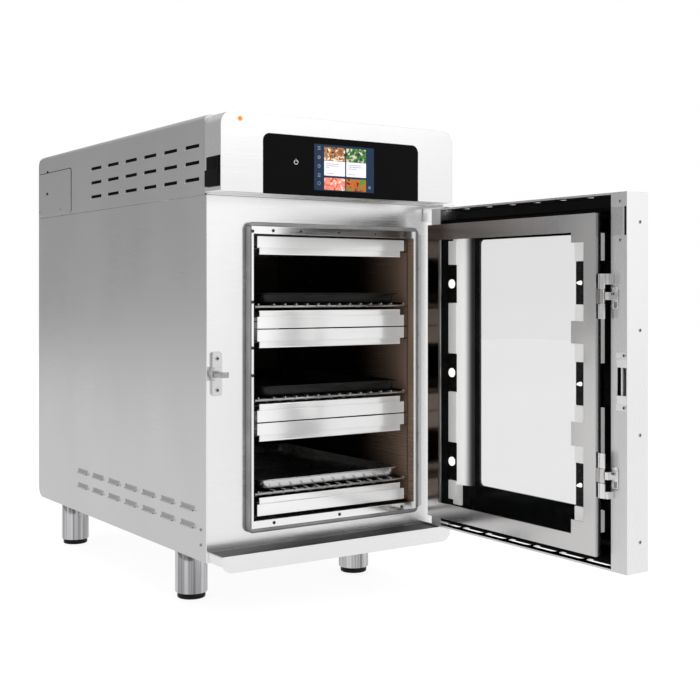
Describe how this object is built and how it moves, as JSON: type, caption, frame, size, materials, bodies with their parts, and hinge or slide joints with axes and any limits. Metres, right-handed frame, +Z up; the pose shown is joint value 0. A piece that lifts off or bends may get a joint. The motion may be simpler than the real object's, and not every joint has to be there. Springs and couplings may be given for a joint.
{
  "type": "combi oven",
  "caption": "Countertop multi-chamber combi oven with jet plates, racks and pans, a hinged double-glazed door shown open, a control head and chrome legs.",
  "frame": {"origin": "centre of the footprint (casing plus open door) at floor level", "axes": "+X to the right seen from the front, +Y from the front to the rear, +Z up"},
  "size_m": [0.5874, 1.449, 0.92],
  "materials": {
    "side_steel": "brushed, satin",
    "front_steel": "fine brushed, bright",
    "bare_steel": "bright annealed",
    "polished_steel": "polished",
    "black_plastic": "matte",
    "black_rubber": "matte",
    "control_glass": "gloss",
    "outer_glass": "black printed border",
    "clear_glass": "clear",
    "dark_pan": "non-stick coating",
    "bright_pan": "satin",
    "motor_metal": "painted",
    "element_metal": "oxidised",
    "wool": "mineral wool",
    "lamp_white": "white enamel"
  },
  "bodies": {
    "oven": {"base_pan": "side_steel", "left_side_panel": "side_steel", "right_side_panel": "side_steel", "top_cover": "side_steel", "back_panel": "side_steel", "front_panel": "front_steel", "drip_ledge": "front_steel", "control_bezel": "front_steel", "display_glass": "control_glass", "door_gasket": "black_rubber", "leg_front_left": "polished_steel", "leg_rear_left": "polished_steel", "leg_front_right": "polished_steel", "leg_rear_right": "polished_steel", "cavity_liner": "bare_steel", "left_rack_rail": "bare_steel", "right_rack_rail": "bare_steel", "rear_baffle": "bare_steel", "catch_block": "bare_steel", "top_hinge": "bare_steel", "bottom_hinge": "bare_steel", "insulation": "wool", "fan_motor_1": "motor_metal", "heating_element_1": "element_metal", "fan_motor_2": "motor_metal", "heating_element_2": "element_metal", "fan_motor_3": "motor_metal", "heating_element_3": "element_metal"},
    "door": {"door_shell": "front_steel", "outer_glass": "outer_glass", "door_handle": "bare_steel", "striker_bar": "bare_steel", "lamp_bar_hinge_side": "lamp_white", "lamp_bar_latch_side": "lamp_white", "window_hinge_top": "bare_steel", "window_hinge_bottom": "bare_steel"},
    "inner_window": {"inner_frame": "bare_steel", "inner_glass": "clear_glass"},
    "port_flap": {"port_cover": "black_rubber"},
    "hook": {"catch_hook": "bare_steel"},
    "cooling_rotor": {"cooling_fan": "black_plastic"},
    "shelf_1": {"wire_shelf_1": "polished_steel"},
    "tray_1": {"pan_1": "dark_pan"},
    "rotor_1": {"fan_wheel_1": "bare_steel"},
    "upper_plate_1": {"upper_jet_plate_1": "bare_steel"},
    "lower_plate_1": {"lower_jet_plate_1": "bare_steel"},
    "shelf_2": {"wire_shelf_2": "polished_steel"},
    "tray_2": {"pan_2": "dark_pan"},
    "rotor_2": {"fan_wheel_2": "bare_steel"},
    "upper_plate_2": {"upper_jet_plate_2": "bare_steel"},
    "lower_plate_2": {"lower_jet_plate_2": "bare_steel"},
    "shelf_3": {"wire_shelf_3": "polished_steel"},
    "tray_3": {"pan_3": "bright_pan"},
    "rotor_3": {"fan_wheel_3": "bare_steel"},
    "upper_plate_3": {"upper_jet_plate_3": "bare_steel"},
    "lower_plate_3": {"lower_jet_plate_3": "bare_steel"},
    "adjuster_front_left": {"foot_front_left": "black_plastic"},
    "adjuster_rear_left": {"foot_rear_left": "black_plastic"},
    "adjuster_front_right": {"foot_front_right": "black_plastic"},
    "adjuster_rear_right": {"foot_rear_right": "black_plastic"}
  },
  "joints": [
    {"name": "door_hinge", "type": "hinge", "parent": "oven", "child": "door", "pos_m": [0.22425, -0.216, 0.436], "axis": [0, 0, 1], "range_deg": [-90, 30]},
    {"name": "inner_window_hinge", "type": "hinge", "parent": "door", "child": "inner_window", "pos_m": [0.18475, -0.6815, 0.436], "axis": [0, 0, 1], "range_deg": [0, 80]},
    {"name": "port_cover_flap", "type": "hinge", "parent": "oven", "child": "port_flap", "pos_m": [-0.29025, -0.1845, 0.839], "axis": [0, 1, 0], "range_deg": [0, 90]},
    {"name": "catch_hook_pivot", "type": "hinge", "parent": "oven", "child": "hook", "pos_m": [-0.27625, -0.1705, 0.444], "axis": [0, 0, -1], "range_deg": [0, 20], "stiffness_Nm_per_rad": 1, "springref_deg": -5.73},
    {"name": "cooling_fan_spin", "type": "hinge", "parent": "oven", "child": "cooling_rotor", "pos_m": [0.06775, 0.6995, 0.825], "axis": [0, 1, 0], "continuous": true},
    {"name": "shelf_1_slide", "type": "slide", "parent": "oven", "child": "shelf_1", "axis": [0, -1, 0], "range_m": [0, 0.3]},
    {"name": "pan_1_slide", "type": "slide", "parent": "shelf_1", "child": "tray_1", "axis": [0, -1, 0], "range_m": [0, 0.15]},
    {"name": "upper_jet_plate_1_slide", "type": "slide", "parent": "oven", "child": "upper_plate_1", "axis": [0, -1, 0], "range_m": [0, 0.35]},
    {"name": "lower_jet_plate_1_slide", "type": "slide", "parent": "oven", "child": "lower_plate_1", "axis": [0, -1, 0], "range_m": [0, 0.35]},
    {"name": "fan_1_spin", "type": "hinge", "parent": "oven", "child": "rotor_1", "pos_m": [-0.00875, 0.4435, 0.611], "axis": [0, 1, 0], "continuous": true},
    {"name": "shelf_2_slide", "type": "slide", "parent": "oven", "child": "shelf_2", "axis": [0, -1, 0], "range_m": [0, 0.3]},
    {"name": "pan_2_slide", "type": "slide", "parent": "shelf_2", "child": "tray_2", "axis": [0, -1, 0], "range_m": [0, 0.15]},
    {"name": "upper_jet_plate_2_slide", "type": "slide", "parent": "oven", "child": "upper_plate_2", "axis": [0, -1, 0], "range_m": [0, 0.35]},
    {"name": "lower_jet_plate_2_slide", "type": "slide", "parent": "oven", "child": "lower_plate_2", "axis": [0, -1, 0], "range_m": [0, 0.35]},
    {"name": "fan_2_spin", "type": "hinge", "parent": "oven", "child": "rotor_2", "pos_m": [-0.00875, 0.4435, 0.4345], "axis": [0, 1, 0], "continuous": true},
    {"name": "shelf_3_slide", "type": "slide", "parent": "oven", "child": "shelf_3", "axis": [0, -1, 0], "range_m": [0, 0.3]},
    {"name": "pan_3_slide", "type": "slide", "parent": "shelf_3", "child": "tray_3", "axis": [0, -1, 0], "range_m": [0, 0.15]},
    {"name": "upper_jet_plate_3_slide", "type": "slide", "parent": "oven", "child": "upper_plate_3", "axis": [0, -1, 0], "range_m": [0, 0.35]},
    {"name": "lower_jet_plate_3_slide", "type": "slide", "parent": "oven", "child": "lower_plate_3", "axis": [0, -1, 0], "range_m": [0, 0.35]},
    {"name": "fan_3_spin", "type": "hinge", "parent": "oven", "child": "rotor_3", "pos_m": [-0.00875, 0.4435, 0.258], "axis": [0, 1, 0], "continuous": true},
    {"name": "foot_front_left_level", "type": "slide", "parent": "oven", "child": "adjuster_front_left", "axis": [0, 0, -1], "range_m": [0, 0.02]},
    {"name": "foot_rear_left_level", "type": "slide", "parent": "oven", "child": "adjuster_rear_left", "axis": [0, 0, -1], "range_m": [0, 0.02]},
    {"name": "foot_front_right_level", "type": "slide", "parent": "oven", "child": "adjuster_front_right", "axis": [0, 0, -1], "range_m": [0, 0.02]},
    {"name": "foot_rear_right_level", "type": "slide", "parent": "oven", "child": "adjuster_rear_right", "axis": [0, 0, -1], "range_m": [0, 0.02]}
  ]
}
